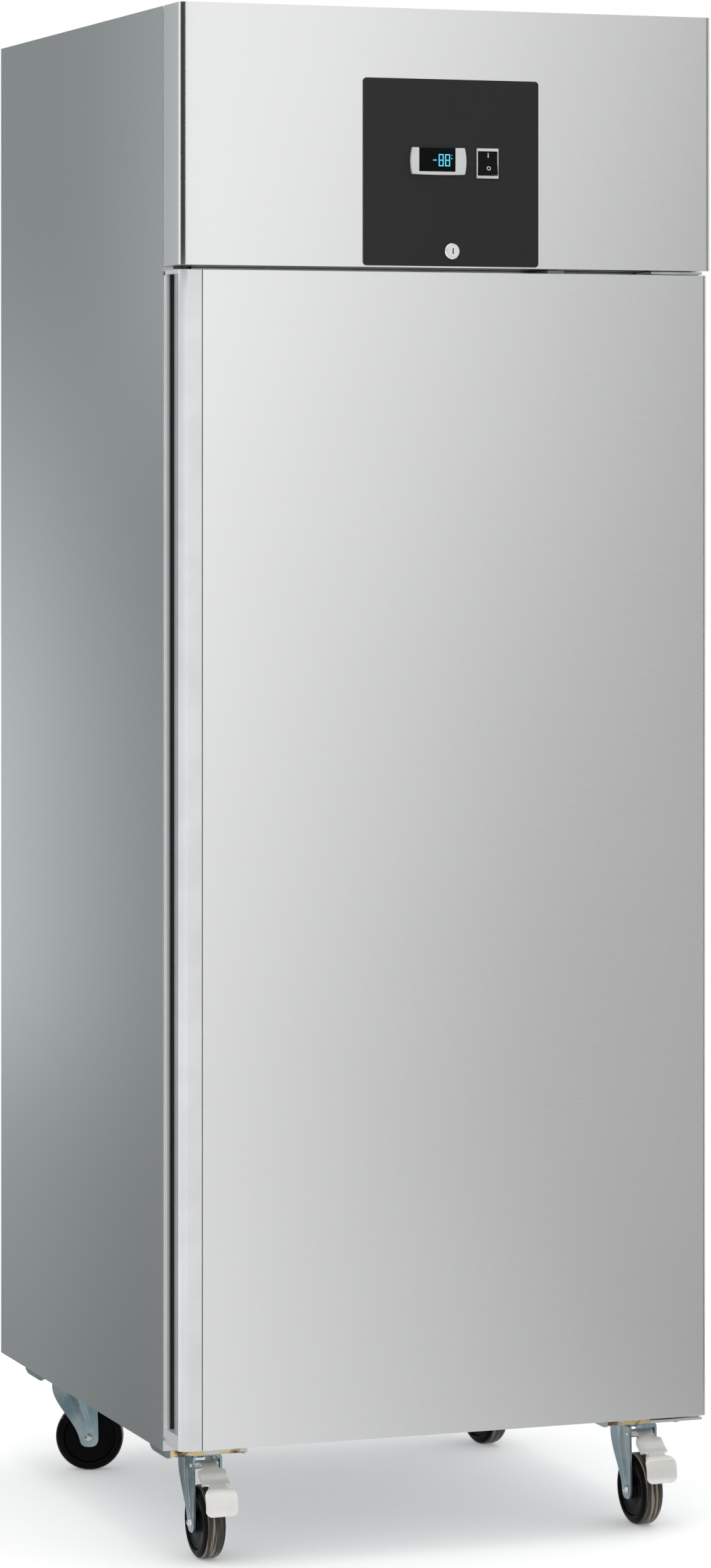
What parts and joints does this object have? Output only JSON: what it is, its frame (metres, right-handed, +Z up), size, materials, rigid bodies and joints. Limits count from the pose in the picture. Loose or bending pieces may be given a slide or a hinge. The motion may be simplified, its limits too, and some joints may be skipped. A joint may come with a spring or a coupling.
{
  "type": "upright refrigerator",
  "caption": "Upright stainless refrigerator with one solid door, wire shelves, a hinged header over the machine compartment and swivel castors.",
  "frame": {"origin": "on the floor under the middle of the whole object's box", "axes": "+X to the right seen from the front, +Y to the back, +Z up"},
  "size_m": [0.74, 0.838, 2.01],
  "materials": {
    "stainless_case": "brushed stainless sheet",
    "stainless_front": "fine brushed stainless sheet",
    "galvanised": "galvanised sheet",
    "liner_steel": "satin stainless sheet",
    "foam": "rigid insulating foam",
    "rack_steel": "satin steel",
    "shelf_wire": "bright wire",
    "cover_white": "white painted sheet",
    "coil_aluminium": "aluminium fins",
    "fan_black": "moulded black",
    "motor_grey": "painted motor shell",
    "compressor_black": "black enamel",
    "copper": "copper tube",
    "box_grey": "grey painted sheet",
    "bracket_steel": "plated steel",
    "hinge_rod_steel": "bright rod",
    "gasket_grey": "light grey magnetic gasket",
    "grip_silver": "silver grey profile",
    "cap_grey": "moulded grey",
    "bush_white": "low-friction plastic",
    "switch_housing": "light moulded housing",
    "plate_black": "satin black plate",
    "bezel_light": "light moulded frame",
    "window_black": "dark display window",
    "switch_bezel_grey": "light moulded frame",
    "rocker_black": "glossy black",
    "lock_chrome": "polished",
    "castor_zinc": "bright zinc plate",
    "bolt_zinc": "zinc plated",
    "wheel_black": "moulded black",
    "tyre_black": "black rubber",
    "pedal_chrome": "bright plated"
  },
  "bodies": {
    "cabinet": {"side_panel_left": "stainless_case", "side_panel_right": "stainless_case", "back_panel": "galvanised", "base_panel": "galvanised", "deck_panel": "galvanised", "top_cover": "galvanised", "flap_hinge_rod": "hinge_rod_steel", "insulation": "foam", "inner_liner": "liner_steel", "shelf_supports": "rack_steel", "shelf_lower": "shelf_wire", "shelf_middle": "shelf_wire", "shelf_upper": "shelf_wire", "evaporator_cover": "cover_white", "evaporator_coil": "coil_aluminium", "fan_motors": "motor_grey", "condenser_coil": "coil_aluminium", "condenser_shroud": "galvanised", "compressor": "compressor_black", "refrigerant_pipes": "copper", "electrical_box": "box_grey", "hinge_brackets": "bracket_steel", "door_switch": "switch_housing", "castor_plates": "castor_zinc", "castor_bolts": "bolt_zinc"},
    "evaporator_fan": {"evaporator_fan": "fan_black"},
    "condenser_fan": {"condenser_fan": "fan_black"},
    "door": {"door_skin": "stainless_front", "door_foam": "foam", "door_liner": "liner_steel", "door_gasket": "gasket_grey", "grip_profile": "grip_silver", "grip_end_caps": "cap_grey", "hinge_bushes": "bush_white"},
    "header": {"header_panel": "stainless_front", "control_plate": "plate_black", "controller_bezel": "bezel_light", "controller_window": "window_black", "switch_bezel": "switch_bezel_grey", "lock_housing": "lock_chrome"},
    "rocker": {"rocker": "rocker_black"},
    "lock_barrel": {"lock_barrel": "lock_chrome"},
    "castor_fl_fork": {"castor_fl_fork": "castor_zinc", "castor_fl_axle": "bolt_zinc"},
    "castor_fl_wheel": {"castor_fl_wheel": "wheel_black", "castor_fl_tyre": "tyre_black"},
    "castor_fl_pedal": {"castor_fl_pedal": "pedal_chrome"},
    "castor_fr_fork": {"castor_fr_fork": "castor_zinc", "castor_fr_axle": "bolt_zinc"},
    "castor_fr_wheel": {"castor_fr_wheel": "wheel_black", "castor_fr_tyre": "tyre_black"},
    "castor_fr_pedal": {"castor_fr_pedal": "pedal_chrome"},
    "castor_rl_fork": {"castor_rl_fork": "castor_zinc", "castor_rl_axle": "bolt_zinc"},
    "castor_rl_wheel": {"castor_rl_wheel": "wheel_black", "castor_rl_tyre": "tyre_black"},
    "castor_rr_fork": {"castor_rr_fork": "castor_zinc", "castor_rr_axle": "bolt_zinc"},
    "castor_rr_wheel": {"castor_rr_wheel": "wheel_black", "castor_rr_tyre": "tyre_black"}
  },
  "joints": [
    {"name": "door_hinge", "type": "hinge", "parent": "cabinet", "child": "door", "pos_m": [0.352, -0.381, 0.1581], "axis": [0, 0, 1], "range_deg": [0, 115]},
    {"name": "header_flap", "type": "hinge", "parent": "cabinet", "child": "header", "pos_m": [0, -0.346, 2.0045], "axis": [-1, 0, 0], "range_deg": [0, 70]},
    {"name": "lock_turn", "type": "hinge", "parent": "header", "child": "lock_barrel", "pos_m": [0, -0.411, 1.6956], "axis": [0, 1, 0], "range_deg": [0, 90]},
    {"name": "switch_rocker", "type": "hinge", "parent": "header", "child": "rocker", "pos_m": [0.0497, -0.41, 1.8105], "axis": [1, 0, 0], "range_deg": [0, 16]},
    {"name": "evaporator_fan_spin", "type": "hinge", "parent": "cabinet", "child": "evaporator_fan", "pos_m": [0, 0.029, 1.516], "axis": [0, 1, 0], "continuous": true},
    {"name": "condenser_fan_spin", "type": "hinge", "parent": "cabinet", "child": "condenser_fan", "pos_m": [-0.18, -0.231, 1.806], "axis": [0, 1, 0], "continuous": true},
    {"name": "castor_fl_swivel", "type": "hinge", "parent": "cabinet", "child": "castor_fl_fork", "pos_m": [-0.306, -0.29, 0.1371], "axis": [0, 0, 1], "continuous": true},
    {"name": "castor_fl_roll", "type": "hinge", "parent": "castor_fl_fork", "child": "castor_fl_wheel", "pos_m": [-0.306, -0.318, 0.0475], "axis": [1, 0, 0], "continuous": true},
    {"name": "castor_fl_brake", "type": "hinge", "parent": "castor_fl_fork", "child": "castor_fl_pedal", "pos_m": [-0.306, -0.32, 0.122], "axis": [1, 0, 0], "range_deg": [0, 12]},
    {"name": "castor_fr_swivel", "type": "hinge", "parent": "cabinet", "child": "castor_fr_fork", "pos_m": [0.306, -0.29, 0.1371], "axis": [0, 0, 1], "continuous": true},
    {"name": "castor_fr_roll", "type": "hinge", "parent": "castor_fr_fork", "child": "castor_fr_wheel", "pos_m": [0.30673, -0.31799, 0.0475], "axis": [0.9997, 0.0262, 0], "continuous": true},
    {"name": "castor_fr_brake", "type": "hinge", "parent": "castor_fr_fork", "child": "castor_fr_pedal", "pos_m": [0.30678, -0.31999, 0.122], "axis": [0.9997, 0.0262, 0], "range_deg": [0, 12]},
    {"name": "castor_rl_swivel", "type": "hinge", "parent": "cabinet", "child": "castor_rl_fork", "pos_m": [-0.306, 0.29, 0.1371], "axis": [0, 0, 1], "continuous": true},
    {"name": "castor_rl_roll", "type": "hinge", "parent": "castor_rl_fork", "child": "castor_rl_wheel", "pos_m": [-0.27969, 0.28042, 0.0475], "axis": [0.342, 0.9397, 0], "continuous": true},
    {"name": "castor_rr_swivel", "type": "hinge", "parent": "cabinet", "child": "castor_rr_fork", "pos_m": [0.306, 0.29, 0.1371], "axis": [0, 0, 1], "continuous": true},
    {"name": "castor_rr_roll", "type": "hinge", "parent": "castor_rr_fork", "child": "castor_rr_wheel", "pos_m": [0.31086, 0.26243, 0.0475], "axis": [0.9848, 0.1736, 0], "continuous": true}
  ]
}
